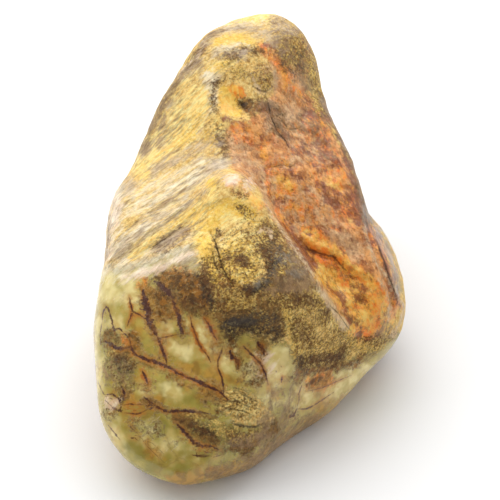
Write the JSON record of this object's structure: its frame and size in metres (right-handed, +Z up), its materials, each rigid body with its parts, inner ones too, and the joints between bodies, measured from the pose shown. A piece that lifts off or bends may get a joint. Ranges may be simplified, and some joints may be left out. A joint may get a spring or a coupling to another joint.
{
  "type": "nephrite pebble",
  "caption": "River-worn nephrite pebble: a polished green nose, a crusted knob and crest, a sunken rusty back face and a blunt raised peak, lying on a small flat worn underside.",
  "frame": {"origin": "on the surface the stone rests on, under the middle of its length and width", "axes": "+Y along the length, from the polished green nose to the raised peak; +Z up; +X to the right, seen from the nose"},
  "size_m": [0.0584, 0.0888, 0.0514],
  "materials": {
    "nephrite": "river-worn: smooth and waxy on the green nose, granular ochre and rust-orange crust elsewhere"
  },
  "bodies": {
    "root": {"nephrite_pebble": "nephrite"}
  },
  "joints": []
}
